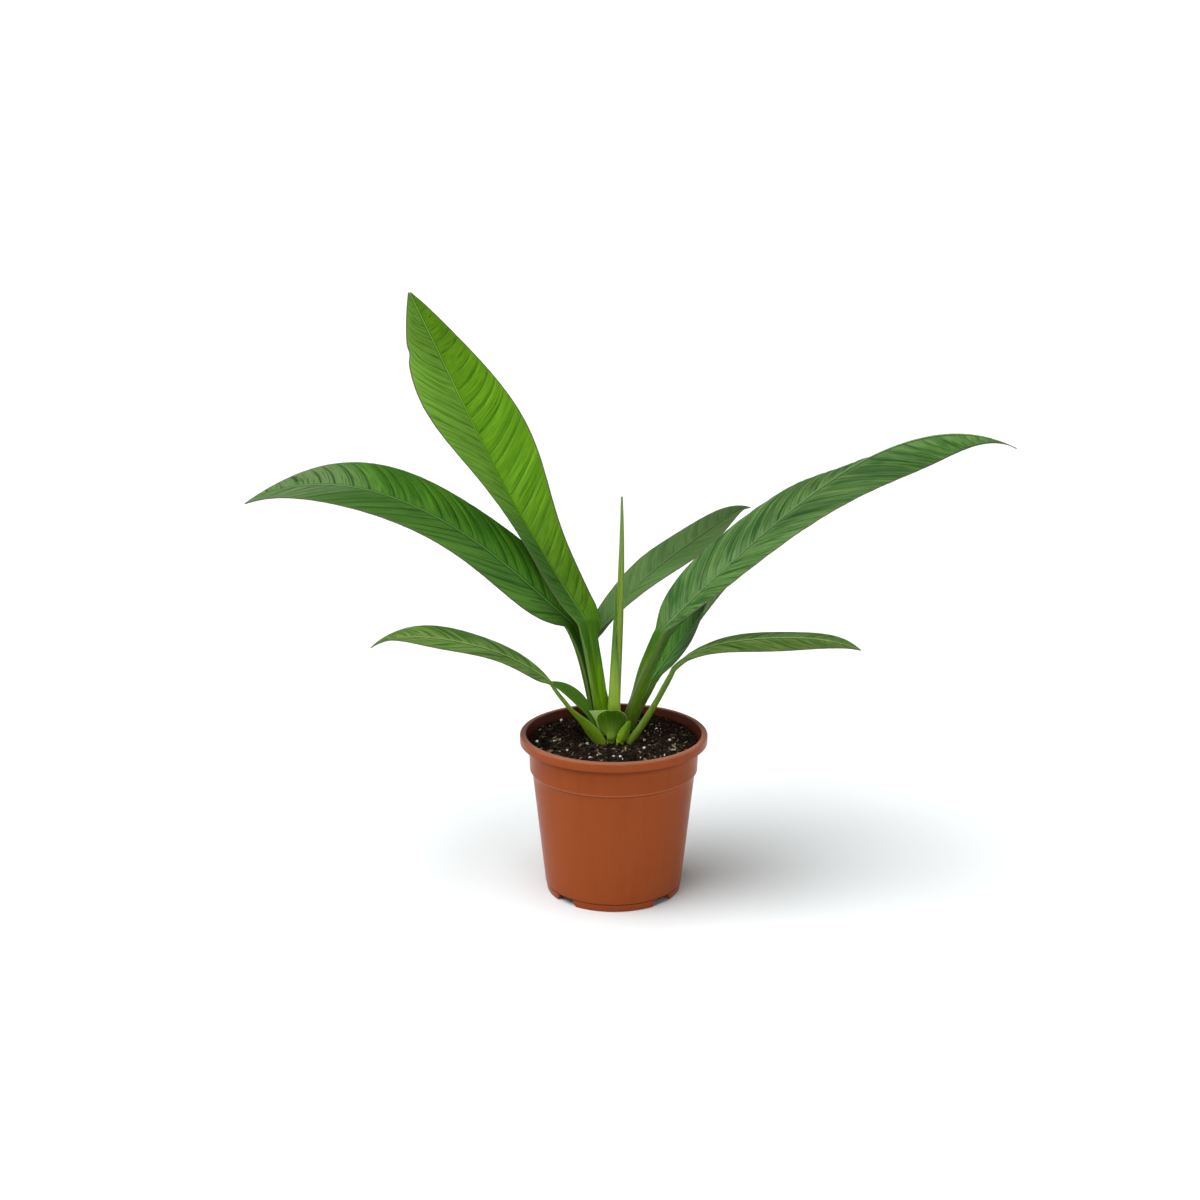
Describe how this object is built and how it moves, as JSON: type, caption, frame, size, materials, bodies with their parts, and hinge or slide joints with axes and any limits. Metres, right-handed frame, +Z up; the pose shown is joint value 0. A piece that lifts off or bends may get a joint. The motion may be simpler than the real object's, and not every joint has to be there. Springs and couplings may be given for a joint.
{
  "type": "potted philodendron",
  "caption": "Young philodendron with long pleated leaves fanning out of a short crown, standing in soil in a round tapered nursery pot.",
  "frame": {"origin": "under the middle of the whole plant's box, on the surface that the pot stands on; the pot's axis stands at x -0.0157, y -0.0312", "axes": "+X towards the tip of the longest leaf, on the viewer's right; +Y away from the viewer; +Z up"},
  "size_m": [0.5174, 0.1824, 0.375],
  "materials": {
    "pot_plastic": "satin",
    "soil": "matte",
    "leaf_bright": "satin",
    "leaf_deep": "satin",
    "spear_pale": "satin",
    "sheath_olive": "satin"
  },
  "bodies": {
    "root": {"pot": "pot_plastic", "soil": "soil", "leaf_upright": "leaf_bright", "leaf_arch_left": "leaf_deep", "leaf_arch_right": "leaf_deep", "leaf_behind_right": "leaf_deep", "leaf_back_right": "leaf_deep", "leaf_low_left": "leaf_deep", "leaf_low_right": "leaf_deep", "spear": "spear_pale", "spear_sheath": "spear_pale", "sheath_left": "sheath_olive", "crown_sheath": "sheath_olive", "scale_left": "sheath_olive", "scale_front": "sheath_olive"}
  },
  "joints": []
}
